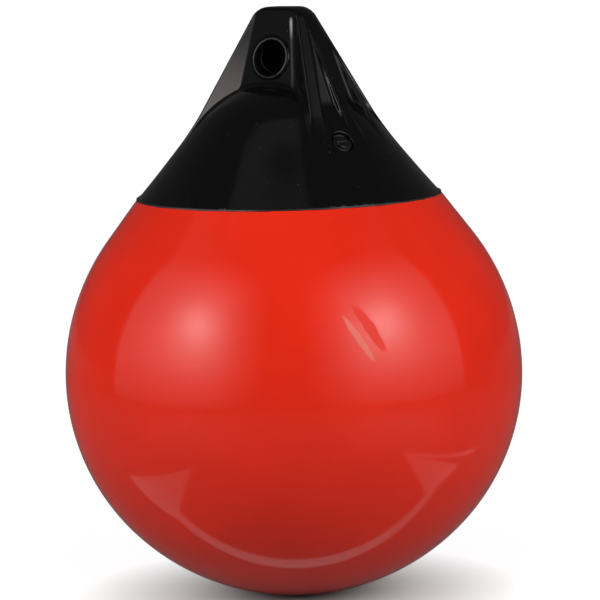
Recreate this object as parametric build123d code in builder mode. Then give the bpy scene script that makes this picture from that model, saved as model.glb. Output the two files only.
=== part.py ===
"""Inflatable marker buoy: a hollow vinyl ball, and a moulded rope hold welded to its mouth.

Millimetres. +Z is up along the buoy's axis, and the origin is where that axis meets the still
water that it floats in. The eye is bored along Y, so the two pockets face -Y and +Y.
"""
from build123d import *

import os
from math import atan2, cos, degrees, radians, sin, tan

os.makedirs("parts", exist_ok=True)

# How deep it floats, from the waterline down to the lowest point of the ball
draft = 57.0

# Ball: round above its widest level, a little flatter below, with a straight shoulder to its mouth.
# The flat is what its underside lies short of a full sphere, and the spread is how far from
# the axis the arc of its lower side is centred.
ball_radius = 152.5
ball_flat = 3.9
side_spread = 6.5
ball_wall = 3.0
shoulder_angle = 37.1
mouth_radius = 101.2

# Rope hold, as a cap: a short land at the weld, a hollowed skirt and a dome that carries the lug
cap_wall = 4.0
seam_step = 1.2
land_height = 1.2
skirt_rise = 30.3
skirt_run = 23.8
skirt_hollow = 0.4
dome_lean = 41.2
dome_radius = 77.0

# Lug: a steep cone with a flat top and a well rounded top edge
lug_height = 125.6
lug_top_radius = 17.2
lug_slope = 29.8
lug_top_round = 6.5
lug_root_depth = 100.0

# Weld between ball and cap: a bead that fills the step and stands proud of it
weld_bulge = 0.4

# Eye for the rope, with a raised collar round each mouth
eye_radius = 11.65
eye_drop = 33.3
collar_width = 2.9
collar_height = 1.2
collar_taper = 35.0

# Pockets at the eye: a face that leans out downwards, and a wall that flares at each side of it,
# with a soft cove between them. The flare is from the pocket's own direction.
pocket_face_depth = 17.0
pocket_face_tilt = 13.0
pocket_flare = 55.0
pocket_cove = 6.0

# Columns: drop below the lug's top, half width of the face, reach of the cut along the wall
pocket_sections = [
    (-1.0, 15.2, 20.0),
    (95.3, 29.0, 60.0),
]

# Flutes on one quarter of the lug. Columns: direction from -Y towards +X in degrees,
# then for the upper and the lower section: drop below the top, distance of the floor
# from the axis, near edge and far edge of the floor
flute_draft = 14.0
flute_reach = 40.0
side_flute = [90.0, (5.0, 21.6, -8.6, 8.6), (95.3, 60.0, -7.6, 7.6)]
corner_flute = [64.45, (12.0, 24.3, 3.1, 3.4), (95.3, 63.3, -9.4, 8.2)]

# Valve through the dome: a round recess, a threaded seat and a slotted plug
valve_direction = 65.0
valve_reach = 68.0
recess_radius = 7.7
recess_depth = 3.2
boss_radius = 11.0
boss_top = 2.0
boss_depth = 10.0
seat_radius = 4.6
seat_length = 9.0
seat_flange_radius = 6.2
seat_flange_height = 1.2
plug_radius = 3.0
plug_length = 7.0
plug_head_radius = 4.2
plug_head_height = 1.4
plug_slot_width = 1.2
plug_slot_depth = 0.8
valve_fit = 0.1

# Places that follow from the sizes
ball_depth = ball_radius - ball_flat
side_radius = ball_radius - side_spread
bottom_rise = (side_spread**2 - (ball_depth - side_radius) ** 2) / (2 * (ball_depth - side_radius))
bottom_radius = bottom_rise + ball_depth
bottom_turn = 90.0 - degrees(atan2(bottom_rise, side_spread))
shoulder = radians(shoulder_angle)
mouth_rise = (ball_radius - mouth_radius * cos(shoulder)) / sin(shoulder)
equator_height = ball_depth - draft
profile_plane = Plane(origin=(0, 0, equator_height), x_dir=(1, 0, 0), z_dir=(0, -1, 0))


def ball_line(inset):
    """Half outline of the ball from its lowest point to its mouth, inset by a wall."""
    CenterArc((0, bottom_rise), bottom_radius - inset, -90, bottom_turn)
    CenterArc((side_spread, 0), side_radius - inset, bottom_turn - 90, 90 - bottom_turn)
    upper = CenterArc((0, 0), ball_radius - inset, 0, shoulder_angle)
    mouth = (mouth_radius - inset / cos(shoulder), mouth_rise)
    Line(upper @ 1, mouth)
    return mouth


with BuildPart() as ball:
    with BuildSketch(profile_plane):
        with BuildLine():
            outer_mouth = ball_line(0)
            inner_mouth = ball_line(ball_wall)
            Line(outer_mouth, inner_mouth)
            Line((0, -ball_depth), (0, ball_wall - ball_depth))
        make_face()
    revolve(axis=Axis.Z)

# Outline of the cap from the weld to the dome
cap_radius = outer_mouth[0] - seam_step
skirt_foot = (cap_radius, mouth_rise + land_height)
waist = (cap_radius - skirt_run, mouth_rise + skirt_rise)
lean = radians(dome_lean)
dome_edge = (dome_radius * cos(lean), waist[1] + (waist[0] - dome_radius * cos(lean)) / tan(lean))
dome_centre = dome_edge[1] - dome_radius * sin(lean)
lug_rise = mouth_rise + lug_height
eye_height = equator_height + lug_rise - eye_drop


def dome_line(inset):
    """Half outline of the dome from the waist to the axis, inset by a wall."""
    start = (waist[0] - inset * cos(lean), waist[1] - inset * sin(lean))
    crown = CenterArc((0, dome_centre), dome_radius - inset, dome_lean, 90 - dome_lean)
    Line(start, crown @ 0)
    return start, crown @ 1


def lug_radius(drop):
    """Radius of the lug's cone at a drop below its flat top."""
    return lug_top_radius + drop * tan(radians(lug_slope))


def face_depth(drop):
    """Distance of a pocket's face from the axis at a drop below the lug's top."""
    return pocket_face_depth + (drop - eye_drop) * tan(radians(pocket_face_tilt))


def level(drop):
    """Horizontal plane at a drop below the lug's top."""
    return Plane.XY.offset(equator_height + lug_rise - drop)


tilt = radians(pocket_face_tilt)
eye_mouth = Plane(origin=(0, -face_depth(eye_drop), eye_height), z_dir=(0, -cos(tilt), sin(tilt)))
eye_mouth_back = Plane(origin=(0, face_depth(eye_drop), eye_height), z_dir=(0, cos(tilt), sin(tilt)))

with BuildPart() as pocket_cut:
    for drop, half_width, reach in pocket_sections:
        inner = -face_depth(drop)
        outer = inner - reach * cos(radians(pocket_flare))
        far = half_width + reach * sin(radians(pocket_flare))
        with BuildSketch(level(drop)):
            with BuildLine():
                Polyline(
                    (-half_width, inner),
                    (half_width, inner),
                    (far, outer),
                    (far, -ball_radius),
                    (-far, -ball_radius),
                    (-far, outer),
                    close=True,
                )
            make_face()
    loft()
    face_corners = pocket_cut.edges().filter_by(Plane.XY, reverse=True).sort_by(Axis.Y)[-2:]
    fillet(face_corners, pocket_cove)
    mirror(about=Plane.XZ)

with BuildPart() as flute_cut:
    for direction, *sections in (side_flute, corner_flute):
        for drop, floor, near, far in sections:
            spread = flute_reach * tan(radians(flute_draft))
            with BuildSketch(level(drop).rotated((0, 0, direction - 90))):
                with BuildLine():
                    Polyline(
                        (floor, near),
                        (floor, far),
                        (floor + flute_reach, far + spread),
                        (floor + flute_reach, near - spread),
                        close=True,
                    )
                make_face()
        loft()
    mirror(about=Plane.XZ)
    mirror(about=Plane.YZ)

with BuildPart() as lug:
    with BuildSketch(profile_plane):
        with BuildLine():
            Polyline(
                (0, lug_rise),
                (lug_top_radius, lug_rise),
                (lug_radius(lug_root_depth), lug_rise - lug_root_depth),
                (0, lug_rise - lug_root_depth),
                close=True,
            )
        make_face()
    revolve(axis=Axis.Z)
    fillet(lug.edges().sort_by(Axis.Z)[-1], lug_top_round)
    add(pocket_cut.part, mode=Mode.SUBTRACT)
    add(flute_cut.part, mode=Mode.SUBTRACT)
    with BuildSketch(eye_mouth, eye_mouth_back):
        Circle(eye_radius + collar_width)
    extrude(amount=collar_height, taper=collar_taper)

# Plane of the valve, square to the dome
turn = radians(valve_direction)
valve_rise = waist[1] + (waist[0] - valve_reach) / tan(lean)
valve_plane = Plane(
    origin=(valve_reach * sin(turn), -valve_reach * cos(turn), equator_height + valve_rise),
    z_dir=(cos(lean) * sin(turn), -cos(lean) * cos(turn), sin(lean)),
)

with BuildPart() as rope_hold:
    with BuildSketch(profile_plane):
        with BuildLine():
            Line((0, mouth_rise), (cap_radius, mouth_rise))
            Line((cap_radius, mouth_rise), skirt_foot)
            SagittaArc(skirt_foot, waist, skirt_hollow)
            _, crown = dome_line(0)
            Line(crown, (0, mouth_rise))
        make_face()
    revolve(axis=Axis.Z)
    add(lug.part)
    with BuildSketch(profile_plane):
        with BuildLine():
            inner_waist, vault = dome_line(cap_wall)
            cap_mouth = (inner_mouth[0], mouth_rise)
            Line((0, mouth_rise), cap_mouth)
            Line(cap_mouth, inner_waist)
            Line(vault, (0, mouth_rise))
        make_face()
    revolve(axis=Axis.Z, mode=Mode.SUBTRACT)
    with Locations(Location((0, 0, eye_height), (90, 0, 0))):
        Cylinder(eye_radius, 2 * ball_radius, mode=Mode.SUBTRACT)

    with BuildSketch(valve_plane.offset(-boss_top)):
        Circle(boss_radius)
    extrude(amount=boss_top - boss_depth)
    with BuildSketch(valve_plane.offset(-recess_depth)):
        Circle(recess_radius)
    extrude(amount=cap_radius, mode=Mode.SUBTRACT)
    with BuildSketch(valve_plane.offset(-recess_depth)):
        Circle(seat_radius)
    extrude(amount=-boss_depth, mode=Mode.SUBTRACT)

with BuildPart() as seam_weld:
    with BuildSketch(profile_plane):
        with BuildLine():
            weld_crest = (outer_mouth[0] + weld_bulge, mouth_rise + weld_bulge)
            Polyline((cap_radius, mouth_rise), outer_mouth, weld_crest, skirt_foot, close=True)
        make_face()
    revolve(axis=Axis.Z)

with BuildPart() as valve_seat:
    with BuildSketch(valve_plane.offset(-recess_depth)):
        Circle(seat_flange_radius)
    extrude(amount=seat_flange_height)
    with BuildSketch(valve_plane.offset(-recess_depth)):
        Circle(seat_radius - valve_fit)
    extrude(amount=-seat_length)
    with BuildSketch(valve_plane.offset(seat_flange_height - recess_depth)):
        Circle(plug_radius)
    extrude(amount=-seat_flange_height - seat_length, mode=Mode.SUBTRACT)

with BuildPart() as valve_plug:
    with BuildSketch(valve_plane.offset(seat_flange_height - recess_depth)):
        Circle(plug_head_radius)
    extrude(amount=plug_head_height)
    with BuildSketch(valve_plane.offset(seat_flange_height - recess_depth)):
        Circle(plug_radius - valve_fit)
    extrude(amount=-plug_length)
    with BuildSketch(valve_plane.offset(seat_flange_height + plug_head_height - recess_depth)):
        Rectangle(2 * plug_head_radius, plug_slot_width)
    extrude(amount=-plug_slot_depth, mode=Mode.SUBTRACT)

pieces = {
    "ball": ball,
    "rope_hold": rope_hold,
    "seam_weld": seam_weld,
    "valve_seat": valve_seat,
    "valve_plug": valve_plug,
}
for name, piece in pieces.items():
    piece.part.label = name
    export_step(piece.part, f"parts/{name}.step")
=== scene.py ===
# %% [markdown]
# Inflatable marker buoy
#
# A marker buoy is two mouldings: a hollow red vinyl ball, and a black rope hold welded over its
# mouth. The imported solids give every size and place, and this lesson gives them their looks. It
# works in metres, in the frame of the solids, so nothing has to be fitted afterwards.

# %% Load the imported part
from math import atan2, cos, pi, radians, sin, sqrt, tan

import bmesh
import bpy
import numpy as np
from mathutils import Matrix, Vector


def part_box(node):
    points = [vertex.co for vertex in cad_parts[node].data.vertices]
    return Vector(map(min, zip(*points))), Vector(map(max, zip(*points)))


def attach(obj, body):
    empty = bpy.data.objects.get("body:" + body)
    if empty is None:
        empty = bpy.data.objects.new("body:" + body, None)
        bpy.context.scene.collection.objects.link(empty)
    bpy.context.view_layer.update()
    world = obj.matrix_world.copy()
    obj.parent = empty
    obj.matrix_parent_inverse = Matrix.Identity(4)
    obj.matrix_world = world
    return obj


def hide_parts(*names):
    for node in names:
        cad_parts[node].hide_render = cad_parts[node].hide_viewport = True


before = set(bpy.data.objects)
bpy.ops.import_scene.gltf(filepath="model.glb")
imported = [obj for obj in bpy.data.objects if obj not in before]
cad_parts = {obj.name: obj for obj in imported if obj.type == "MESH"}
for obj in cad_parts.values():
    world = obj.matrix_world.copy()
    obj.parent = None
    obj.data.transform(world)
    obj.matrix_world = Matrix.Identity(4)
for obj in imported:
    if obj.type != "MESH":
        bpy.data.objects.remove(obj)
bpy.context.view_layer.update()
MM = 0.001

# %% [markdown]
# The sizes below are the ones that the solids were drawn from, in millimetres. Heights are
# measured from the ball's widest level, which the frame gives: it lies as far above the ball's
# lowest point as the ball is deep.

# %% Sizes of the ball
ball_low, ball_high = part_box("ball")
hold_low, hold_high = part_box("rope_hold")
ball_radius = ball_high.x / MM
ball_flat = 3.9
side_spread = 6.5
ball_wall = 3.0
shoulder_lean = radians(37.1)
ball_depth = ball_radius - ball_flat
equator = ball_low.z / MM + ball_depth
mouth_rise = hold_low.z / MM - equator
mouth_radius = (ball_radius - mouth_rise * sin(shoulder_lean)) / cos(shoulder_lean)
print(f"ball {2 * ball_radius:.1f} mm wide, widest at z {equator:.1f} mm, mouth {mouth_radius:.1f} mm")

# %% Sizes of the rope hold
cap_radius = hold_high.x / MM
land_height = 1.2
skirt_rise = 30.3
skirt_run = 23.8
skirt_hollow = 0.4
dome_lean = radians(41.2)
dome_radius = 77.0
cap_wall = 4.0
waist = (cap_radius - skirt_run, mouth_rise + skirt_rise)
dome_edge = dome_radius * cos(dome_lean)
crown = waist[1] + (waist[0] - dome_edge) / tan(dome_lean) - dome_radius * sin(dome_lean)
lug_rise = hold_high.z / MM - equator
lug_top_radius = 17.2
lug_slope = radians(29.8)
eye_radius = 11.65
eye_drop = 33.3
face_depth_at_eye = 17.0
face_tilt = radians(13.0)
pocket_flare = radians(55.0)
print(f"lug {lug_rise - mouth_rise:.1f} mm above the weld")

# %% Sizes of the valve
valve_turn = radians(65.0)
valve_reach = 68.0
recess_radius = 7.7
recess_depth = 3.2
flange_radius = 6.2
flange_height = 1.2
plug_radius = 4.2
plug_height = 1.4
slot_width = 1.2
slot_depth = 0.8
print(f"valve {valve_reach:.0f} mm from the axis, in a recess {2 * recess_radius:.1f} mm wide")


# %% [markdown]
# Round pieces are all turned from a half outline, as on a lathe. One node tree does the turning:
# it lays out a grid whose rows are the outline's points and whose columns go round the axis, and
# then moves each grid point to its place. Rows are read by index, so every corner of the outline
# is kept exactly.


# %% Helpers for node trees
def link(tree, source, target):
    """Joins two sockets of a node tree."""
    tree.links.new(source, target)


def add_node(tree, kind, inputs=(), **settings):
    """Adds a node. Its inputs go by name or number, and each is a socket to link or a value."""
    node = tree.nodes.new(kind)
    for name, value in settings.items():
        setattr(node, name, value)
    for key, value in dict(inputs).items():
        if isinstance(value, bpy.types.NodeSocket):
            link(tree, value, node.inputs[key])
        else:
            node.inputs[key].default_value = value
    return node


def math_node(tree, operation, *values):
    """Adds a Math node, with each input either a socket or a number, and returns its output."""
    return add_node(tree, "ShaderNodeMath", enumerate(values), operation=operation).outputs[0]


def product(tree, first, *others):
    """Multiplies sockets and numbers."""
    for value in others:
        first = math_node(tree, "MULTIPLY", first, value)
    return first


def split(tree, vector):
    """The x, y and z of a vector."""
    return add_node(tree, "ShaderNodeSeparateXYZ", {0: vector}).outputs


def node_group(name, output, **inputs):
    """A geometry tree with one output and with inputs of the kinds given, and those inputs."""
    tree = bpy.data.node_groups.new(name, "GeometryNodeTree")
    for label, kind in inputs.items():
        tree.interface.new_socket(label, in_out="INPUT", socket_type="NodeSocket" + kind)
    tree.interface.new_socket(output, in_out="OUTPUT", socket_type="NodeSocketGeometry")
    return tree, tree.nodes.new("NodeGroupInput").outputs


def hand_out(tree, geometry, finish):
    """Ends a geometry tree: makes its instances real and gives them their finish."""
    real = add_node(tree, "GeometryNodeRealizeInstances", {"Geometry": geometry}).outputs[0]
    paint = add_node(tree, "GeometryNodeSetMaterial", {"Geometry": real, "Material": finish})
    add_node(tree, "NodeGroupOutput", {0: paint.outputs[0]})


# %% A node tree that turns an outline
def turning_tree(merge_reach=1e-6):
    """Builds the tree: an outline in the XZ plane goes in, and a turned skin comes out."""
    tree, given = node_group("turn_outline", "Skin", Outline="Geometry", Columns="Int",
                             Finish="Material")
    outline, columns = given["Outline"], given["Columns"]
    size = add_node(tree, "GeometryNodeAttributeDomainSize", {"Geometry": outline})
    rows = size.outputs["Point Count"]
    cells = {"Vertices X": math_node(tree, "ADD", columns, 1), "Vertices Y": rows}
    grid = add_node(tree, "GeometryNodeMeshGrid", cells)
    index = add_node(tree, "GeometryNodeInputIndex").outputs[0]
    row = math_node(tree, "MODULO", index, rows)
    column = math_node(tree, "FLOOR", math_node(tree, "DIVIDE", index, rows))
    angle = product(tree, math_node(tree, "DIVIDE", column, columns), 2 * pi)
    place = add_node(tree, "GeometryNodeInputPosition").outputs[0]
    point = add_node(tree, "GeometryNodeSampleIndex",
                     {"Geometry": outline, "Value": place, "Index": row}, data_type="FLOAT_VECTOR")
    radius, _, height = split(tree, point.outputs["Value"])
    spot = {"Z": height}
    for function, name in (("COSINE", "X"), ("SINE", "Y")):
        spot[name] = product(tree, radius, math_node(tree, function, angle))
    join = add_node(tree, "ShaderNodeCombineXYZ", spot).outputs[0]
    move = add_node(tree, "GeometryNodeSetPosition",
                    {"Geometry": grid.outputs["Mesh"], "Position": join})
    merge = add_node(tree, "GeometryNodeMergeByDistance",
                     {"Geometry": move.outputs[0], "Distance": merge_reach})
    hand_out(tree, merge.outputs[0], given["Finish"])
    return tree


turn_outline = turning_tree()


# %% Use a tree on a piece
def in_scene(name, data):
    """An object of that name and data, in the scene."""
    piece = bpy.data.objects.new(name, data)
    bpy.context.scene.collection.objects.link(piece)
    return piece


def outward(piece, crease=35.0):
    """Merges doubles, points every face outwards, and smooths all but the sharp edges."""
    mesh = bmesh.new()
    mesh.from_mesh(piece.data)
    bmesh.ops.remove_doubles(mesh, verts=mesh.verts, dist=1e-7)
    bmesh.ops.recalc_face_normals(mesh, faces=mesh.faces)
    mesh.to_mesh(piece.data)
    mesh.free()
    piece.data.shade_smooth()
    piece.data.set_sharp_from_angle(angle=radians(crease))
    return piece


def grown(name, seed, tree, **inputs):
    """The plain mesh object that a node tree makes of a seed mesh, with the tree's inputs set."""
    maker = in_scene(name + "_maker", seed)
    modifier = maker.modifiers.new(name, "NODES")
    modifier.node_group = tree
    for item in tree.interface.items_tree:
        if item.in_out == "INPUT" and item.name in inputs:
            modifier[item.identifier] = inputs[item.name]
    graph = bpy.context.evaluated_depsgraph_get()
    mesh = bpy.data.meshes.new_from_object(maker.evaluated_get(graph))
    bpy.data.objects.remove(maker)
    mesh.name = name
    return outward(in_scene(name, mesh))


def turned(name, outline, columns, finish):
    """Turns a closed half outline, given as (radius, height) in millimetres, about the Z axis."""
    mesh = bpy.data.meshes.new(name + "_outline")
    points = [(r * MM, 0.0, z * MM) for r, z in outline]
    edges = [(i, i + 1) for i in range(len(points) - 1)]
    mesh.from_pydata(points, edges, [])
    return grown(name, mesh, turn_outline, Columns=columns, Finish=finish)


def arc(centre, radius, start, stop, steps):
    """Points on an arc from one angle to another, in radians."""
    angles = np.linspace(start, stop, steps + 1)
    return [(centre[0] + radius * cos(a), centre[1] + radius * sin(a)) for a in angles]


# %% [markdown]
# The ball is rotation-moulded, so it is a skin of even thickness with no flat anywhere. Its
# outline is three arcs and the straight shoulder, and the same outline inset by the wall is its
# inside. A real wall matters even though it is hidden: the mesh is also printed and weighed.


# %% Outline of the ball
def ball_outline(inset):
    """Half outline of the ball from its lowest point to its mouth, inset by the wall."""
    step = ball_depth - (ball_radius - side_spread)
    rise = (side_spread**2 - step**2) / (2 * step)
    turn = atan2(rise, side_spread)
    bottom = arc((0, rise), rise + ball_depth - inset, -pi / 2, -turn, 36)
    side = arc((side_spread, 0), ball_radius - side_spread - inset, -turn, 0, 40)
    upper = arc((0, 0), ball_radius - inset, 0, shoulder_lean, 32)
    mouth = (mouth_radius - inset / cos(shoulder_lean), mouth_rise)
    start = upper[-1]
    shoulder = [(start[0] + (mouth[0] - start[0]) * t, start[1] + (mouth[1] - start[1]) * t)
                for t in np.linspace(0, 1, 9)]
    return bottom + side[1:] + upper[1:] + shoulder[1:]


def above_equator(outline):
    """Lifts an outline from the ball's own level to the frame's."""
    return [(max(r, 0.0), z + equator) for r, z in outline]


# %% [markdown]
# The rope hold has a form that a lathe can't cut: pockets, flutes and a bore that all run into
# each other with soft moulded corners. It is easiest to say as a rule. Each feature is a distance
# field, negative inside the vinyl, and a round minimum or maximum of two fields joins them with
# a fillet of a stated radius. The surface is where the final field is zero.


# %% Round joins of distance fields
def round_union(a, b, radius):
    """The nearer of two solids, with a concave fillet where they meet."""
    u = np.maximum(radius - a, 0)
    v = np.maximum(radius - b, 0)
    return np.maximum(radius, np.minimum(a, b)) - np.hypot(u, v)


def round_overlap(a, b, radius):
    """What two solids share, with a rounded edge where they meet."""
    u = np.maximum(radius + a, 0)
    v = np.maximum(radius + b, 0)
    return np.minimum(-radius, np.maximum(a, b)) + np.hypot(u, v)


# %% Fillets of the rope hold, in millimetres
top_round = 6.5
pocket_top_round = 3.0
pocket_cove = 0.6
crest_round = 1.2
flute_cove = 2.2
root_fillet = 3.0
waist_round = 2.0
eye_mouth_round = 0.25
collar_radius = 12.8
collar_thickness = 1.8
collar_blend = 0.8
recess_edge_round = 0.8
recess_cove = 1.2


# %% The cap: land, skirt and dome
def cap_field(r, z):
    """Distance to the cap's outside, at a radius and a rise above the equator."""
    foot = (cap_radius, mouth_rise + land_height)
    chord = np.hypot(waist[0] - foot[0], waist[1] - foot[1])
    hollow = chord**2 / (8 * skirt_hollow) + skirt_hollow / 2
    out = ((waist[1] - foot[1]) / chord, (foot[0] - waist[0]) / chord)
    middle = ((waist[0] + foot[0]) / 2, (waist[1] + foot[1]) / 2)
    reach = hollow - skirt_hollow
    centre = (middle[0] + out[0] * reach, middle[1] + out[1] * reach)
    skirt = hollow - np.hypot(r - centre[0], z - centre[1])
    side = (r - waist[0]) * cos(dome_lean) + (z - waist[1]) * sin(dome_lean)
    ball = np.hypot(r, z - crown) - dome_radius
    high = (z - crown) * cos(dome_lean) > r * sin(dome_lean)
    dome = np.where(high, ball, side)
    return np.maximum(r - cap_radius, round_overlap(skirt, dome, waist_round))


# %% The lug: a cone with pockets
# The half width of a pocket's face, at two drops below the lug's top
pocket_widths = ((-1.0, 15.2), (95.3, 29.0))


def ramp(drop, first, last):
    """A value that runs straight from one (drop, value) to another."""
    return first[1] + (drop - first[0]) * (last[1] - first[1]) / (last[0] - first[0])


def ramp_slope(ends):
    """Rise of a ramp for each unit of drop."""
    return (ends[1][1] - ends[0][1]) / (ends[1][0] - ends[0][0])


def face_depth(drop):
    """How far a pocket's face lies from the axis."""
    return face_depth_at_eye + (drop - eye_drop) * tan(face_tilt)


def pocket_field(x, y, drop):
    """Distance to what the pockets leave, on both sides of the lug at once."""
    across, forward = abs(x), abs(y)
    width = ramp(drop, *pocket_widths)
    depth = face_depth(drop)
    wall = (across - width) * cos(pocket_flare) - (forward - depth) * sin(pocket_flare)
    face = (depth - forward) * cos(face_tilt)
    return round_union(-face, -wall, pocket_cove)


# %% The flutes
# Columns: direction from -Y in degrees, then for two drops below the lug's top: the drop, the
# distance of the floor from the axis, and the floor's near and far edge
flutes = [
    (90.0, (5.0, 21.6, -8.6, 8.6), (95.3, 60.0, -7.6, 7.6)),
    (64.45, (12.0, 24.3, 3.1, 3.4), (95.3, 63.3, -9.4, 8.2)),
]
flute_draft = radians(14.0)


def flute_field(x, y, drop):
    """Distance to what the flutes leave, on all four quarters of the lug at once."""
    left = np.full_like(drop, -1e3)
    for degrees, high, low in flutes:
        turn = radians(degrees)
        away = abs(x) * sin(turn) + abs(y) * cos(turn)
        along = abs(x) * cos(turn) - abs(y) * sin(turn)
        floor, near, far = (ramp(drop, (high[0], a), (low[0], b)) for a, b in zip(high[1:], low[1:]))
        spread = (away - floor) * tan(flute_draft)
        beside = np.minimum(along - (near - spread), far + spread - along) * cos(flute_draft)
        left = np.maximum(left, round_union(away - floor, beside, flute_cove))
    return left


def lug_field(x, y, z):
    """Distance to the lug, with its eye still unbored."""
    drop = lug_rise - z
    r = np.hypot(x, y)
    cone = (r - lug_top_radius - drop * tan(lug_slope)) * cos(lug_slope)
    body = round_overlap(cone, -drop, top_round)
    pockets = round_overlap(pocket_field(x, y, drop), -drop, pocket_top_round)
    body = round_overlap(body, pockets, crest_round)
    return round_overlap(body, flute_field(x, y, drop), crest_round)


# %% The eye and the valve's recess
valve_out = Vector((sin(valve_turn), -cos(valve_turn), 0))
valve_axis = valve_out * cos(dome_lean) + Vector((0, 0, sin(dome_lean)))
valve_rise = waist[1] + (waist[0] - valve_reach) / tan(dome_lean)
valve_seat_place = valve_out * valve_reach + Vector((0, 0, valve_rise))


def hold_field(x, y, z):
    """Distance to the whole rope hold, in millimetres above the ball's widest level."""
    solid = round_union(cap_field(np.hypot(x, y), z), lug_field(x, y, z), root_fillet)
    up = z - (lug_rise - eye_drop)
    height = (abs(y) - face_depth_at_eye) * cos(face_tilt) + up * sin(face_tilt)
    rise = up * cos(face_tilt) - (abs(y) - face_depth_at_eye) * sin(face_tilt)
    collar = np.hypot(np.hypot(x, rise) - collar_radius, height) - collar_thickness
    solid = round_union(solid, collar, collar_blend)
    solid = round_overlap(solid, eye_radius - np.hypot(x, up), eye_mouth_round)
    away = [q - p for q, p in zip((x, y, z), valve_seat_place)]
    lift = sum(q * a for q, a in zip(away, valve_axis))
    beside = np.sqrt(np.maximum(sum(q * q for q in away) - lift**2, 0))
    recess = round_overlap(beside - recess_radius, -recess_depth - lift, recess_cove)
    return round_overlap(solid, -recess, recess_edge_round)


# %% [markdown]
# A field becomes a mesh by surface nets: every small cell that the surface passes through gets
# one vertex, and every grid edge that the surface crosses gets one face between its four cells.
# A few Newton steps then pull the vertices onto the surface itself, so that the gloss is smooth.


# %% Mesh a field
def gradient(field, points, step=0.02):
    """Slope of a field at each point, by small differences."""
    slope = np.empty_like(points)
    for axis in range(3):
        shift = np.zeros(3)
        shift[axis] = step
        slope[:, axis] = (field(*(points + shift).T) - field(*(points - shift).T)) / (2 * step)
    return slope


def sample(field, low, high, cell):
    """Values of a field on a grid that fills a box."""
    ticks = [np.arange(a, b + cell, cell) for a, b in zip(low, high)]
    value = np.empty([len(t) for t in ticks], np.float32)
    y, z = np.meshgrid(ticks[1], ticks[2], indexing="ij")
    for i, x in enumerate(ticks[0]):
        value[i] = field(np.full_like(y, x), y, z)
    return value


# %% Vertices: one in each cell that the surface passes through
cell_corners = [(i, j, k) for i in (0, 1) for j in (0, 1) for k in (0, 1)]
newton_steps = 6


def crossed_cells(inside):
    """The cells whose corners lie on both sides of the surface."""
    size = [n - 1 for n in inside.shape]
    count = np.zeros(size, np.int8)
    for corner in cell_corners:
        count += inside[tuple(slice(o, o + n) for o, n in zip(corner, size))]
    return np.argwhere((count > 0) & (count < 8))


def middle_of_cuts(value, cells):
    """Mean of the places where the surface cuts each cell's edges, counted in cells."""
    total = np.zeros((len(cells), 3))
    hits = np.zeros((len(cells), 1))
    for corner in cell_corners:
        for axis in range(3):
            if corner[axis]:
                continue
            start, stop = np.array(corner), np.array(corner)
            stop[axis] = 1
            first = value[tuple((cells + start).T)]
            second = value[tuple((cells + stop).T)]
            cut = (first < 0) != (second < 0)
            share = np.where(cut, first / np.where(cut, first - second, 1), 0)[:, None]
            total += np.where(cut[:, None], start + share * (stop - start), 0)
            hits += cut[:, None]
    return cells + total / hits


def settle(field, points, cell):
    """Moves points onto the surface by a few Newton steps."""
    for _ in range(newton_steps):
        slope = gradient(field, points)
        move = field(*points.T)[:, None] * slope / (slope**2).sum(1)[:, None]
        points = points - np.clip(move, -cell / 2, cell / 2)
    return points


# %% Faces: one round each grid edge that the surface crosses
def crossing_quads(inside, number):
    """Outward quads between the numbered cells round each crossed edge."""
    shape = inside.shape
    quads = []
    for axis in range(3):
        u, v = (axis + 1) % 3, (axis + 2) % 3
        near = [slice(1, n - 1) for n in shape]
        near[axis] = slice(0, shape[axis] - 1)
        far = list(near)
        far[axis] = slice(1, shape[axis])
        edge = np.argwhere(inside[tuple(near)] != inside[tuple(far)])
        edge[:, u] += 1
        edge[:, v] += 1
        leaving = inside[tuple(edge.T)]
        ring = []
        for du, dv in ((0, 0), (1, 0), (1, 1), (0, 1)):
            place = edge.copy()
            place[:, u] -= 1 - du
            place[:, v] -= 1 - dv
            ring.append(number[tuple(place.T)])
        quad = np.stack(ring, 1)
        quad[~leaving] = quad[~leaving][:, ::-1]
        quads.append(quad)
    return np.concatenate(quads)


def surface_net(name, field, low, high, cell):
    """A mesh of outward quads where a field is zero, inside a box."""
    value = sample(field, low, high, cell)
    inside = value < 0
    cells = crossed_cells(inside)
    number = np.full([n - 1 for n in inside.shape], -1, np.int32)
    number[tuple(cells.T)] = np.arange(len(cells))
    points = settle(field, np.array(low) + cell * middle_of_cuts(value, cells), cell)
    mesh = bpy.data.meshes.new(name)
    mesh.from_pydata(points.tolist(), [], crossing_quads(inside, number).tolist())
    return mesh


# %% [markdown]
# Each finish is a node material on Object coordinates, so it needs no unwrapping. Vinyl is a
# dielectric with a soft gloss: what makes it look real is what breaks that gloss, which is a fine
# orange peel from the mould, a slow unevenness of the skin, and the scuffs of handling.


# %% Helpers for materials
def new_material(name, colour, roughness):
    """A material with a Principled surface, and its node tree and shader."""
    material = bpy.data.materials.new(name)
    material.use_nodes = True
    tree = material.node_tree
    shader = tree.nodes["Principled BSDF"]
    shader.inputs["Base Color"].default_value = (*colour, 1)
    shader.inputs["Roughness"].default_value = roughness
    material.diffuse_color = (*colour, 1)
    return material, tree, shader


def object_place(tree):
    """Where a point lies in the frame, in metres."""
    return add_node(tree, "ShaderNodeTexCoord").outputs["Object"]


def vector_node(tree, operation, *values):
    """Adds a Vector Math node, from sockets or vectors, and returns what it gives."""
    node = add_node(tree, "ShaderNodeVectorMath", enumerate(values), operation=operation)
    gives_number = operation in ("DOT_PRODUCT", "DISTANCE", "LENGTH")
    return node.outputs["Value" if gives_number else "Vector"]


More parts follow.
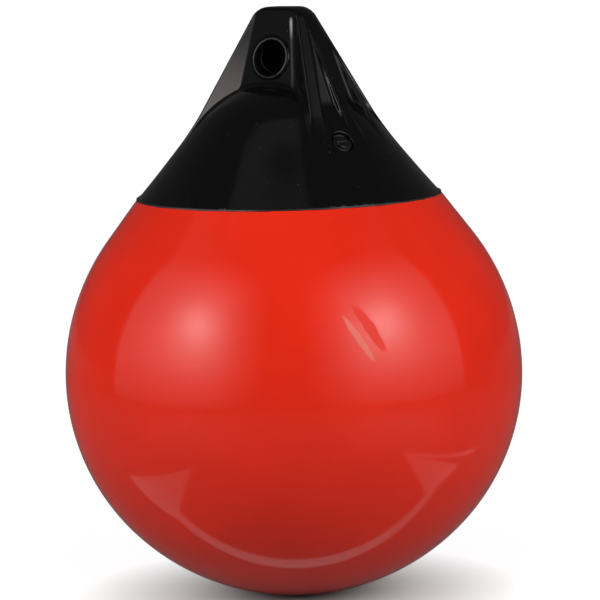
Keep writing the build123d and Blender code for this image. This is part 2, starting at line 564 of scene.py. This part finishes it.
def noise(tree, scale, detail):
    """Noise on Object coordinates, from 0 to 1, with its coarsest grain scale to the metre."""
    inputs = {"Vector": object_place(tree), "Scale": scale, "Detail": detail}
    return add_node(tree, "ShaderNodeTexNoise", inputs).outputs["Fac"]


def remap(tree, value, low, high, to_low, to_high):
    """Moves a value from one range to another, and holds it there."""
    inputs = {"Value": value, "From Min": low, "From Max": high, "To Min": to_low, "To Max": to_high}
    return add_node(tree, "ShaderNodeMapRange", inputs).outputs[0]


def clouds(tree, scale, detail, *ranges):
    """Noise with a range of its values moved to another, as remap does."""
    return remap(tree, noise(tree, scale, detail), *ranges)


def rgba(colour):
    """Three numbers with an alpha of 1, or a socket as it is."""
    return (*colour, 1) if isinstance(colour, tuple) else colour


def blend_colour(tree, share, first, second):
    """Blends two colours, each a socket or three numbers, by a share from 0 to 1."""
    inputs = {0: share, 6: rgba(first), 7: rgba(second)}
    return add_node(tree, "ShaderNodeMix", inputs, data_type="RGBA").outputs[2]


def bump(tree, shader, layers):
    """Stacks bumps of noise on a shader. A layer is a noise's scale and detail, and a depth."""
    inputs = {"Strength": 1.0}
    for scale, detail, depth in layers:
        inputs.update(Height=noise(tree, scale, detail), Distance=depth)
        inputs["Normal"] = add_node(tree, "ShaderNodeBump", inputs).outputs[0]
    link(tree, inputs["Normal"], shader.inputs["Normal"])


# %% [markdown]
# The ball was rubbed once in use. One mark lost its gloss, and the pale one beside it was scraped.
# Each is an oval, measured from the middle of the rub, and noise frays its edge. The ovals have no
# end in depth, so a faint copy of both marks lies where they come out on the ball's far side.


# %% Where the ball is rubbed
# The middle of the rub, the way it runs, and the way across it. Then each mark: its middle along
# and across the rub, its half length and its half width, all in metres
rub_middle = (0.1122, -0.0895, 0.1429)
rub_along = (0.5375, 0.209, -0.817)
rub_across = (0.4094, 0.7819, 0.4693)
dull_mark = (0.005, 0.0003, 0.019, 0.0038)
pale_mark = (0.006, -0.0097, 0.018, 0.0021)
mark_edge = (0.75, 1.15)


def rub_place(tree):
    """How far along and across the rub a point lies, in metres."""
    away = vector_node(tree, "SUBTRACT", object_place(tree), rub_middle)
    return [vector_node(tree, "DOT_PRODUCT", away, way) for way in (rub_along, rub_across)]


def mark(tree, place, shape, fray):
    """1 inside an oval mark, falling to 0 at its edge, which a noise frays."""
    shares = []
    for value, middle, half in zip(place, shape[:2], shape[2:]):
        share = math_node(tree, "DIVIDE", math_node(tree, "SUBTRACT", value, middle), half)
        shares.append(product(tree, share, share))
    reach = math_node(tree, "ADD", math_node(tree, "ADD", *shares), fray)
    return remap(tree, reach, *mark_edge, 1, 0)


# %% Noises and bumps of the finishes
# Columns of a noise: grains to the metre, detail, the range in use, and the range it becomes
red_tones = (14, 3, 0.35, 0.65, 0, 1)
red_gloss = (22, 4, 0.35, 0.7, 0.08, 0.14)
mark_fray = (160, 3, 0.3, 0.7, -0.3, 0.3)
black_gloss = (30, 4, 0.35, 0.7, 0.10, 0.17)
dust_specks = (900, 1, 0.79, 0.82, 0, 1)
thin_flash = (60, 3, 0.4, 0.65, 0, 1)
# Columns of a bump: grains to the metre, detail, and depth in metres
red_bumps = [(9, 1, 0.0008), (420, 2, 0.000012)]
black_bumps = [(16, 1, 0.0006), (500, 2, 0.00001)]


# %% Red vinyl of the ball
red = (0.80, 0.024, 0.008)
deep_red = (0.77, 0.0225, 0.0075)
light_red = (0.83, 0.0255, 0.0085)
scraped_red = (0.8, 0.16, 0.12)
rubbed_roughness = 0.55
red_specular = 0.31


def red_vinyl():
    """Even red, with the tone and the gloss of the skin slightly uneven, and one rub on it."""
    material, tree, shader = new_material("red_vinyl", red, 0.11)
    tone = blend_colour(tree, clouds(tree, *red_tones), deep_red, light_red)
    place = rub_place(tree)
    fray = clouds(tree, *mark_fray)
    dull = mark(tree, place, dull_mark, fray)
    pale = mark(tree, place, pale_mark, fray)
    link(tree, blend_colour(tree, pale, tone, scraped_red), shader.inputs["Base Color"])
    rubbed = product(tree, math_node(tree, "MAXIMUM", dull, pale), rubbed_roughness)
    rough = math_node(tree, "MAXIMUM", clouds(tree, *red_gloss), rubbed)
    link(tree, rough, shader.inputs["Roughness"])
    shader.inputs["Specular IOR Level"].default_value = red_specular
    bump(tree, shader, red_bumps)
    return material


# %% [markdown]
# The rope hold isn't equally glossy all over. Its pocket faces and its bore come dull out of the
# mould, and one wall of each pocket is satin, with a painted reflection that lightens it, most
# towards the bottom. The margin beside the eye carries a painted highlight, a pale streak near its
# top. Each of these is found by its place: near a plane of the pocket, mirrored to all four
# quarters of the lug, or near the bore's cylinder.


# %% Where the rope hold is dull or satin, and where reflection and highlight are painted on it
# In metres: how near to a plane or a bore counts as on it, drops below the lug's top, and how far
# the painted highlight's streak lies inside the side of a pocket's face. The least painted
# reflection and the streak's tail are shares of the whole.
lug_top = (equator + lug_rise) * MM
plane_band = (0.0003, 0.0007)
bore_band = ((eye_radius + 0.25) * MM, (eye_radius + 0.85) * MM)
wall_end = 0.088
reflection_drops = (0.02, 0.065)
least_reflection = 0.15
streak_inset = 0.0038
streak_band = (0.0003, 0.0014)
streak_start = (0.0065, 0.0095)
streak_fade = (0.012, 0.022)
streak_end = (0.045, 0.062)
streak_tail = 0.12


def near_zero(tree, value, inside, outside):
    """1 where a value is nearer to zero than inside, falling to 0 at outside."""
    return remap(tree, math_node(tree, "ABSOLUTE", value), inside, outside, 1, 0)


def near_plane(tree, slopes, foot):
    """1 near a plane that is mirrored to all four quarters of the lug."""
    fold = vector_node(tree, "ABSOLUTE", object_place(tree))
    lift = vector_node(tree, "DOT_PRODUCT", fold, slopes)
    return near_zero(tree, math_node(tree, "SUBTRACT", lift, foot), *plane_band)


def across_pocket(tree):
    """How far a point lies from the lug's middle plane, and the face's half width at its height."""
    x, _, z = split(tree, object_place(tree))
    drop = math_node(tree, "SUBTRACT", lug_top, z)
    wide = product(tree, drop, ramp_slope(pocket_widths))
    wide = math_node(tree, "ADD", wide, ramp(0, *pocket_widths) * MM)
    return math_node(tree, "ABSOLUTE", x), wide


def pocket_faces(tree):
    """1 on the face of each pocket, which the mould leaves dull."""
    slope = tan(face_tilt)
    face = near_plane(tree, (0, 1, slope), face_depth(0) * MM + slope * lug_top)
    return product(tree, face, math_node(tree, "LESS_THAN", *across_pocket(tree)))


def pocket_walls(tree):
    """1 on the left wall of each pocket, which is satin, and how strongly a painted reflection
    lightens it.
    """
    across, forward = cos(pocket_flare), -sin(pocket_flare)
    upward = ramp_slope(pocket_widths) * across + tan(face_tilt) * forward
    foot = (ramp(0, *pocket_widths) * across + face_depth(0) * forward) * MM
    wall = near_plane(tree, (across, forward, upward), foot + upward * lug_top)
    x, y, z = split(tree, object_place(tree))
    left = math_node(tree, "GREATER_THAN", product(tree, x, y), 0)
    high = math_node(tree, "GREATER_THAN", z, lug_top - wall_end)
    # The painted reflection grows from its least share at the top to whole at the bottom.
    first, last = reflection_drops
    reflection_share = remap(tree, z, lug_top - first, lug_top - last, least_reflection, 1)
    return product(tree, wall, left, high), reflection_share


def pocket_highlight(tree):
    """Up to 1 along the right margin of each pocket's face: a painted highlight, brightest near its
    top.
    """
    x, y, z = split(tree, object_place(tree))
    drop = math_node(tree, "SUBTRACT", lug_top, z)
    inside = math_node(tree, "ADD", math_node(tree, "SUBTRACT", *across_pocket(tree)), streak_inset)
    near = near_zero(tree, inside, *streak_band)
    right = math_node(tree, "LESS_THAN", product(tree, x, y), 0)
    start = remap(tree, drop, *streak_start, 0, 1)
    fade = remap(tree, drop, *streak_fade, 1, streak_tail)
    end = remap(tree, drop, *streak_end, 1, 0)
    return product(tree, near, right, start, fade, end)


def eye_bore(tree):
    """1 in the eye's bore, where the core pin leaves a dull skin."""
    below = (0, 0, eye_drop * MM - lug_top)
    beside = vector_node(tree, "MULTIPLY_ADD", object_place(tree), (1, 0, 1), below)
    return remap(tree, vector_node(tree, "LENGTH", beside), *bore_band, 1, 0)


# %% Black vinyl of the rope hold
gloss_black = (0.0035, 0.0035, 0.0035)
# Grey of the painted reflection on the satin walls
painted_reflection_grey = (0.14, 0.127, 0.124)
# Grey of the painted highlight on the pocket faces
painted_highlight_grey = (0.35, 0.34, 0.335)
dust_grey = (0.16, 0.15, 0.14)
satin_roughness = 0.5
bore_roughness = 0.75
gloss_specular = 0.2
dull_specular = 0.02


def black_vinyl():
    """Near black and glossy, dull or satin where the places above say so, with a painted reflection
    and highlight.
    """
    material, tree, shader = new_material("black_vinyl", gloss_black, 0.16)
    walls, reflection_share = pocket_walls(tree)
    faces = pocket_faces(tree)
    bore = eye_bore(tree)
    satin = product(tree, walls, satin_roughness)
    rough = math_node(tree, "MAXIMUM", clouds(tree, *black_gloss), satin)
    rough = math_node(tree, "MAXIMUM", rough, product(tree, bore, bore_roughness))
    link(tree, rough, shader.inputs["Roughness"])
    dull = math_node(tree, "MAXIMUM", bore, faces)
    specular = remap(tree, dull, 0, 1, gloss_specular, dull_specular)
    link(tree, specular, shader.inputs["Specular IOR Level"])
    # Painted reflection: the satin walls are lightened grey, most towards the bottom.
    tone = blend_colour(tree, product(tree, walls, reflection_share), gloss_black, painted_reflection_grey)
    # Painted highlight: a pale streak along the right margin of each pocket's face.
    streak = product(tree, pocket_highlight(tree), faces)
    tone = blend_colour(tree, streak, tone, painted_highlight_grey)
    tone = blend_colour(tree, clouds(tree, *dust_specks), tone, dust_grey)
    link(tree, tone, shader.inputs["Base Color"])
    bump(tree, shader, black_bumps)
    return material


# %% Flash and nylon
flash_black = (0.005, 0.0045, 0.0045)
stretched_black = (0.04, 0.036, 0.035)
nylon_black = (0.003, 0.003, 0.003)


def weld_vinyl():
    """Flash of the weld: pale where the vinyl was stretched thin."""
    material, tree, shader = new_material("weld_vinyl", (0.1, 0.1, 0.1), 0.4)
    tone = blend_colour(tree, clouds(tree, *thin_flash), flash_black, stretched_black)
    link(tree, tone, shader.inputs["Base Color"])
    return material


finish_red = red_vinyl()
finish_black = black_vinyl()
finish_weld = weld_vinyl()
finish_seat = new_material("valve_nylon", nylon_black, 0.3)[0]
finish_plug = new_material("plug_nylon", nylon_black, 0.22)[0]
print("five finishes")


# %% The ball
ball_columns = 240
ball_section = above_equator(ball_outline(0) + ball_outline(ball_wall)[::-1])
ball_skin = turned("ball_skin", ball_section, ball_columns, finish_red)
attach(ball_skin, "root")
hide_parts("ball")
print(len(ball_skin.data.polygons), "faces on the ball")


# %% [markdown]
# The rope hold's outside comes from its field, cut off at the weld. Its inside is the plain vault
# of the dome, which a lathe can make, and a flat ring joins the two where they sit on the ball.


# %% Inside of the rope hold
def vault_outline():
    """Half outline of the dome's inside, from the ball's mouth up to the axis."""
    mouth = (mouth_radius - ball_wall / cos(shoulder_lean), mouth_rise)
    inner_waist = (waist[0] - cap_wall * cos(dome_lean), waist[1] - cap_wall * sin(dome_lean))
    top = arc((0, crown), dome_radius - cap_wall, dome_lean, pi / 2, 12)
    return [mouth, inner_waist] + top


def add_vault(shell, columns=96):
    """Adds the dome's inside to a shell, and returns the edges of its open mouth."""
    outline = [(max(r, 0.0), z) for r, z in vault_outline()]
    turns = [2 * pi * i / columns for i in range(columns)]
    rings = [[shell.verts.new((r * cos(a), r * sin(a), z)) for a in turns] for r, z in outline[:-1]]
    pole = shell.verts.new((0, 0, outline[-1][1]))
    steps = [(i, (i + 1) % columns) for i in range(columns)]
    for lower, upper in zip(rings, rings[1:]):
        for i, j in steps:
            shell.faces.new((lower[i], upper[i], upper[j], lower[j]))
    for i, j in steps:
        shell.faces.new((rings[-1][i], pole, rings[-1][j]))
    return [shell.edges.get((rings[0][i], rings[0][j])) for i, j in steps]


# %% Outside and inside of the rope hold, joined
def hold_mesh(cell=1.06):
    """The rope hold as a closed mesh, in millimetres above the ball's widest level."""
    edge = cap_radius + 2 * cell
    low = (-edge, -edge, mouth_rise - 1.5 * cell)
    high = (edge, edge, lug_rise + 2 * cell)
    mesh = surface_net("outside", hold_field, low, high, cell)
    shell = bmesh.new()
    shell.from_mesh(mesh)
    everything = shell.verts[:] + shell.edges[:] + shell.faces[:]
    bmesh.ops.bisect_plane(shell, geom=everything, dist=1e-6, plane_co=(0, 0, mouth_rise),
                           plane_no=(0, 0, 1), clear_inner=True)
    rim = [e for e in shell.edges if e.is_boundary]
    rims = rim + add_vault(shell)
    bmesh.ops.triangle_fill(shell, edges=rims, use_beauty=True, normal=(0, 0, -1))
    bmesh.ops.remove_doubles(shell, verts=shell.verts, dist=1e-3)
    bmesh.ops.recalc_face_normals(shell, faces=shell.faces)
    open_edges = sum(len(e.link_faces) != 2 for e in shell.edges)
    print(len(shell.faces), "faces on the rope hold,", open_edges, "edges left open")
    shell.to_mesh(mesh)
    shell.free()
    return mesh


def corner_normals(mesh, field, reach=0.05, agreement=0.5):
    """The field's own normal at each corner that lies on its surface, and elsewhere the face's."""
    place = np.empty(3 * len(mesh.vertices))
    mesh.vertices.foreach_get("co", place)
    place = place.reshape(-1, 3)
    slope = gradient(field, place)
    slope /= np.linalg.norm(slope, axis=1)[:, None] + 1e-9
    corner = np.empty(len(mesh.loops), int)
    mesh.loops.foreach_get("vertex_index", corner)
    faces = mesh.polygons
    flat = np.repeat([tuple(f.normal) for f in faces], [f.loop_total for f in faces], 0)
    smooth = slope[corner]
    same_way = (smooth * flat).sum(1) > agreement
    on_surface = abs(field(*place.T)) < reach
    return np.where((same_way & on_surface[corner])[:, None], smooth, flat).tolist()


def from_field(name, mesh, field, place, finish):
    """An object from a mesh in millimetres, with its normals from the field, put in its place."""
    normals = corner_normals(mesh, field)
    mesh.transform(place @ Matrix.Diagonal((MM, MM, MM, 1)))
    mesh.shade_smooth()
    turn = np.array(place.to_3x3())
    mesh.normals_split_custom_set((np.array(normals) @ turn.T).tolist())
    mesh.materials.append(finish)
    return in_scene(name, mesh)


# %% The rope hold
above = Matrix.Translation((0, 0, equator * MM))
hold_skin = from_field("hold_skin", hold_mesh(), hold_field, above, finish_black)
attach(hold_skin, "root")
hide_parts("rope_hold")


# %% [markdown]
# The weld squeezes a little flash out of the step between the two mouldings. It is trimmed by
# hand, so its edge wanders, and small nubs are left along it. The nubs are one round seed,
# scattered by nodes.


# %% Flash of the weld
# In millimetres. The bead's turn is in radians, and the nubs' size and their count to the square
# are in metres, as the node tree takes them. The least and the largest nub are shares of that size.
bead_radius = 0.65
bead_inset = 0.35
bead_middle = (mouth_radius - bead_inset, mouth_rise + bead_inset)
bead_turn = (-0.9, 1.9)
flash_root = 0.4
flash_top = 0.9
flash_foot = 0.15
flash_wander = 0.25
flash_waves = (3, 7, 16, 31, 58, 83)
flash_columns = 720
nub_size = 0.00045
nub_density = 26000.0
nub_seed = 11
least_nub = (0.3, 0.3, 0.2)
largest_nub = (1.0, 1.0, 0.7)


def nub_tree():
    """Builds the tree: a ring goes in, and the nubs that are scattered on it come out."""
    tree, given = node_group("scatter_nubs", "Nubs", Ring="Geometry", Density="Float",
                             Size="Float", Seed="Int", Finish="Material")
    seed = given["Seed"]
    scatter = add_node(tree, "GeometryNodeDistributePointsOnFaces",
                       {"Mesh": given["Ring"], "Density": given["Density"], "Seed": seed})
    nub = add_node(tree, "GeometryNodeMeshIcoSphere", {"Subdivisions": 2, "Radius": given["Size"]})
    vary = add_node(tree, "FunctionNodeRandomValue",
                    {"Min": least_nub, "Max": largest_nub, "Seed": seed}, data_type="FLOAT_VECTOR")
    place = {name: scatter.outputs[name] for name in ("Points", "Rotation")}
    put = add_node(tree, "GeometryNodeInstanceOnPoints",
                   {**place, "Instance": nub.outputs["Mesh"], "Scale": vary.outputs["Value"]})
    hand_out(tree, put.outputs[0], given["Finish"])
    return tree


# %% The flash and its nubs
def flash_outline():
    """Closed section of the flash, from the cap's edge round its crest and back."""
    crest = arc(bead_middle, bead_radius, *bead_turn, 6)
    top = (cap_radius - flash_root, mouth_rise + flash_top)
    foot = (cap_radius - flash_root, mouth_rise - flash_foot)
    return [foot] + crest + [top, foot]


def wander(mesh, reach, seed=7):
    """Moves the outer edge of a ring in and out by a few seeded waves."""
    random = np.random.default_rng(seed)
    waves = [(n, random.uniform(0, 2 * pi), random.uniform(0.3, 1)) for n in flash_waves]
    for vertex in mesh.vertices:
        angle = atan2(vertex.co.y, vertex.co.x)
        out = vertex.co.to_2d().length / MM - cap_radius
        push = sum(a * sin(n * angle + p) for n, p, a in waves) / 3
        scale = 1 + max(out, 0) * push * reach / cap_radius
        vertex.co.x *= scale
        vertex.co.y *= scale


seam_flash = turned("seam_flash", above_equator(flash_outline()), flash_columns, finish_weld)
wander(seam_flash.data, flash_wander)
seam_nubs = grown("seam_nubs", seam_flash.data.copy(), nub_tree(), Density=nub_density,
                  Size=nub_size, Seed=nub_seed, Finish=finish_weld)
for piece in (seam_flash, seam_nubs):
    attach(piece, "root")
    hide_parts("seam_weld")
print(len(seam_nubs.data.polygons), "faces on the nubs")


# %% [markdown]
# The valve is two small turned parts that lean with the dome, so both are made upright on their
# own axis and then turned into place. The plug's slot isn't round, so the plug is a field too.


# %% Valve seat
lean_turn = valve_axis.to_track_quat("Z", "Y").to_matrix().to_4x4()
recess_floor = valve_seat_place - recess_depth * valve_axis + Vector((0, 0, equator))
valve_place = Matrix.Translation(recess_floor * MM) @ lean_turn
seat_bore = 3.0
seat_shank = 4.5
seat_length = 9.0
seat_lip = 0.3
seat_columns = 72
seat_foot = (seat_bore, -seat_length)
seat_section = [seat_foot, (seat_shank, -seat_length), (seat_shank, 0), (flange_radius, 0)]
lip_middle = (flange_radius - seat_lip, flange_height - seat_lip)
seat_section += arc(lip_middle, seat_lip, 0, pi / 2, 4)
seat_section += [(seat_bore, flange_height), seat_foot]
valve_ring = turned("valve_ring", seat_section, seat_columns, finish_seat)
valve_ring.data.transform(valve_place)
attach(valve_ring, "root")
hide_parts("valve_seat")
print(len(valve_ring.data.polygons), "faces on the seat")


# %% Valve plug
plug_shank = 2.9
plug_length = 7.0
head_round = 0.4
slot_round = 0.15
plug_cell = 0.24
side_room = 0.4
end_room = 0.5


def plug_field(x, y, z):
    """Distance to the slotted plug, upright, with its head's underside at zero."""
    r = np.hypot(x, y)
    head = round_overlap(r - plug_radius, abs(z - plug_height / 2) - plug_height / 2, head_round)
    stem = np.maximum(r - plug_shank, abs(z + plug_length / 2) - plug_length / 2)
    slot = np.maximum(abs(y) - slot_width / 2, plug_height - slot_depth - z)
    return round_overlap(np.minimum(head, stem), -slot, slot_round)


beyond_head = plug_radius + side_room
plug_low = (-beyond_head, -beyond_head, -plug_length - end_room)
plug_high = (beyond_head, beyond_head, plug_height + end_room)
plug_mesh = surface_net("valve_cap", plug_field, plug_low, plug_high, plug_cell)
plug_place = valve_place @ Matrix.Translation((0, 0, flange_height * MM))
valve_cap = from_field("valve_cap", plug_mesh, plug_field, plug_place, finish_plug)
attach(valve_cap, "root")
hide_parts("valve_plug")
print(len(plug_mesh.polygons), "faces on the plug")


# %% [markdown]
# The studio is plain: a pale floor under the ball's lowest point, and two tall softboxes in front,
# whose reflections draw the form of the gloss. Each is bright at a hot spot and fades towards its
# edges. Their sizes and places come from where those reflections must lie on a sphere. The floor
# glows for the camera, so that it looks white, but the glow fades out close under the ball, which
# paints a shadow round the ball's foot, over the lamps' own shadow.


# %% Floor
# Distances are from the axis, in metres. The floor's own glow for the camera starts at the
# shadow's core, leaves a share to the lamps at the shadow's edge, and is whole at the far reach.
# Where it fades inside the shadow's edge, it paints a shadow.
camera_azimuth = radians(33.0)
toward = Vector((sin(camera_azimuth), -cos(camera_azimuth), 0))
across = Vector((cos(camera_azimuth), sin(camera_azimuth), 0))
floor_level = ball_low.z
floor_reach = 12.0
floor_grey = (0.38, 0.38, 0.38)
shadow_core = 0.06
shadow_edge = 0.16
glow_far = 1.6
lamp_share = 0.14
backdrop_start = 0.7
backdrop_end = 2.4
backdrop_glow = 0.1
# Painted pools of light near the boxes, seen in reflections only: metres to the right of the axis
# and towards the camera, strength
painted_light_patches = [(-0.38, 0.34, 0.3), (0.37, 0.36, 0.42)]
patch_reach = 0.27


def studio_place(right, front, rise=0.0):
    """A place in the studio, as the camera sees it: metres to the right, to the front and up."""
    return across * right + toward * front + Vector((0, 0, rise))


def flat_mesh(name, corners):
    """A single face from its corners."""
    mesh = bpy.data.meshes.new(name)
    mesh.from_pydata([tuple(c) for c in corners], [], [tuple(range(len(corners)))])
    return in_scene(name, mesh)


def mirrored_glow(tree, place, far):
    """What the floor shows in reflections, beyond the lamps' light: a backdrop and two painted pools
    of light.
    """
    glow = remap(tree, far, backdrop_start, backdrop_end, 0, backdrop_glow)
    for right, front, strength in painted_light_patches:
        middle = studio_place(right, front, floor_level)
        apart = vector_node(tree, "DISTANCE", place, middle)
        # A painted pool of light, which only reflections show.
        patch = remap(tree, apart, 0, patch_reach, strength, 0)
        glow = math_node(tree, "MAXIMUM", glow, patch)
    return glow


def white_floor():
    """A pale floor that looks white to the camera, keeps the buoy's shadow and adds a painted one."""
    material, tree, shader = new_material("white_floor", floor_grey, 0.9)
    shader.inputs["Specular IOR Level"].default_value = 0
    place = object_place(tree)
    far = vector_node(tree, "LENGTH", place)
    ray = add_node(tree, "ShaderNodeLightPath").outputs
    gloss = math_node(tree, "MAXIMUM", ray["Is Glossy Ray"], ray["Is Transmission Ray"])
    mirrored = product(tree, gloss, mirrored_glow(tree, place, far))
    seen = math_node(tree, "MAXIMUM", ray["Is Camera Ray"], mirrored)
    glow = remap(tree, far, shadow_edge, glow_far, 1 - lamp_share, 1)
    # Close under the ball the glow fades out: a painted shadow round its foot.
    painted_shadow = remap(tree, far, shadow_core, shadow_edge, 0, 1)
    shine = add_node(tree, "ShaderNodeEmission", {"Strength": product(tree, glow, painted_shadow, seen)})
    both = add_node(tree, "ShaderNodeAddShader", {0: shader.outputs[0], 1: shine.outputs[0]})
    link(tree, both.outputs[0], tree.nodes["Material Output"].inputs["Surface"])
    return material


floor_corners = ((-1, -1), (1, -1), (1, 1), (-1, 1))
floor_places = [(floor_reach * x, floor_reach * y, floor_level) for x, y in floor_corners]
floor = flat_mesh("floor", floor_places)
floor.data.materials.append(white_floor())
print(f"floor at z {floor_level:.4f} m")


# %% Softboxes
# Columns: name, direction in degrees to the right of the camera, watts, and how far across the
# box its hot spot lies, as a share from its inner edge
softboxes = [("left_box", -54.0, 72.0, 0.46), ("right_box", 47.0, 74.0, 0.5)]
box_distance = 1.0
box_width = 1.75
box_height = 1.74
box_foot = -0.05
# The hot spot: its height as a share of the box, its reach in metres, and the glow all round it
hot_height = 0.365
hot_reach = 0.21
hot_floor = 0.05
# How deep the fades at the edges are, as a share of the box, and how bright its foot and top stay
soft_edge = 0.35
foot_glow = 0.4
top_glow = 0.2


def area_lamp(name, width, height, watts, place):
    """A rectangular lamp that shines along its own -Z, put in its place."""
    lamp = bpy.data.lights.new(name, "AREA")
    lamp.shape = "RECTANGLE"
    lamp.size = width
    lamp.size_y = height
    lamp.energy = watts
    in_scene(name, lamp).matrix_world = place
    return lamp


def box_glow(tree, inner, hot_share):
    """How bright a softbox is at each point, with its inner edge at 0 or 1 across it."""
    place = add_node(tree, "ShaderNodeNewGeometry").outputs["Parametric"]
    across_box, up_box, _ = split(tree, place)
    shares = []
    for value, middle, span in ((across_box, abs(inner - hot_share), box_width),
                                (up_box, hot_height, box_height)):
        offset = product(tree, math_node(tree, "SUBTRACT", value, middle), span / hot_reach)
        shares.append(product(tree, offset, offset))
    fall = math_node(tree, "ADD", math_node(tree, "ADD", *shares), 1)
    glow = math_node(tree, "ADD", math_node(tree, "DIVIDE", 1, fall), hot_floor)
    side_fade = remap(tree, across_box, inner, abs(inner - soft_edge), 0, 1)
    foot_fade = remap(tree, up_box, 0, soft_edge / 2, foot_glow, 1)
    top_fade = remap(tree, up_box, 1 - soft_edge, 1, 1, top_glow)
    return product(tree, side_fade, foot_fade, top_fade, glow)


for name, direction, watts, hot_share in softboxes:
    turn = radians(direction)
    away = studio_place(sin(turn), cos(turn))
    middle = away * box_distance + Vector((0, 0, box_foot + box_height / 2))
    facing = away.to_track_quat("Z", "Y").to_matrix().to_4x4()
    lamp = area_lamp(name, box_width, box_height, watts, Matrix.Translation(middle) @ facing)
    lamp.use_nodes = True
    glow = box_glow(lamp.node_tree, 1 if direction < 0 else 0, hot_share)
    link(lamp.node_tree, glow, lamp.node_tree.nodes["Emission"].inputs["Strength"])
print(len(softboxes), "softboxes")


# %% Top panel: a faint lamp overhead, which the dome mirrors
panel_width = 0.94
panel_depth = 0.28
panel_watts = 0.25
panel_spot = (-0.25, 0.29, 1.5)
panel_place = Matrix.Translation(studio_place(*panel_spot))
panel_turn = Matrix.Rotation(camera_azimuth, 4, "Z")
area_lamp("top_panel", panel_width, panel_depth, panel_watts, panel_place @ panel_turn)
print("top panel")


# %% [markdown]
# Low on the ball, the gloss mirrors what lies on the floor in front of it. Four flat cards lie
# there, which glow white though they are no lamps. They show in reflections only, as painted
# reflections on the ball, so the floor and the shadow stay whole.


# %% Glowing cards, seen only in reflections
# Corners of each card: metres to the right of the axis, and towards the camera
cards = {
    "front_card": [(-0.157, 0.086), (0.178, 0.086), (0.178, 0.098), (-0.157, 0.098)],
    "left_card": [(-0.25, 0.033), (-0.129, 0.085), (-0.195, 0.2)],
    "right_card": [(0.255, 0.055), (0.227, 0.228), (0.16, 0.097)],
    "side_card": [(0.225, 0.2), (0.305, -0.005), (0.318, 0.0), (0.238, 0.205)],
}
card_lift = 0.002
card_glow = 0.85


def show_to(tree, rays, shown, otherwise, end):
    """Shows one shader to the rays named and another to all others, at an end socket."""
    seen = add_node(tree, "ShaderNodeLightPath").outputs[rays]
    inputs = {0: seen, 1: otherwise.outputs[0], 2: shown.outputs[0]}
    link(tree, add_node(tree, "ShaderNodeMixShader", inputs).outputs[0], end)


def reflection_glow_card():
    """Glows white in reflections only, a painted reflection, and is clear to all else."""
    material, tree, shader = new_material("reflection_glow_card", (0.9, 0.9, 0.9), 0.9)
    tree.nodes.remove(shader)
    shine = add_node(tree, "ShaderNodeEmission", {"Strength": card_glow})
    clear = add_node(tree, "ShaderNodeBsdfTransparent")
    show_to(tree, "Is Glossy Ray", shine, clear, tree.nodes["Material Output"].inputs["Surface"])
    return material


finish_card = reflection_glow_card()
for name, corners in cards.items():
    places = [studio_place(right, front, floor_level + card_lift) for right, front in corners]
    card = flat_mesh(name, places)
    card.data.materials.append(finish_card)
print(len(cards), "cards")


# %% World: dim all round, and white where the camera looks straight at it
air_glow = 0.07
world = bpy.data.worlds.new("studio")
bpy.context.scene.world = world
world.use_nodes = True
air = world.node_tree
dim = air.nodes["Background"]
dim.inputs["Color"].default_value = (1, 1, 1, 1)
dim.inputs["Strength"].default_value = air_glow
white = add_node(air, "ShaderNodeBackground", {"Color": (1, 1, 1, 1)})
show_to(air, "Is Camera Ray", white, dim, air.nodes["World Output"].inputs["Surface"])
print("world at", air_glow)


# %% [markdown]
# The camera stands 33 degrees round from the front of the lug, and looks slightly down. Its lens
# is worked out from its distance and from what one pixel measures on the buoy.


# %% Camera
camera_distance = 2.2
metres_per_pixel = 0.0006695
picture_pixels = 600
camera_rise = 0.331
aim_up = 0.0487
aim_right = 0.0054
camera_roll = radians(1.6)
lens = bpy.data.cameras.new("camera")
lens.sensor_width = 36
lens.lens = lens.sensor_width * camera_distance / (metres_per_pixel * picture_pixels)
camera = in_scene("camera", lens)
centre = Vector((0, 0, equator * MM))
level = sqrt(camera_distance**2 - camera_rise**2)
spot = centre + studio_place(0, level, camera_rise)
aim = centre + studio_place(aim_right, 0, aim_up)
look = (aim - spot).to_track_quat("-Z", "Y").to_matrix().to_4x4()
camera.matrix_world = Matrix.Translation(spot) @ look @ Matrix.Rotation(-camera_roll, 4, "Z")
bpy.context.scene.camera = camera
bpy.context.scene.view_settings.view_transform = "Standard"
print(f"lens of {lens.lens:.1f} mm")
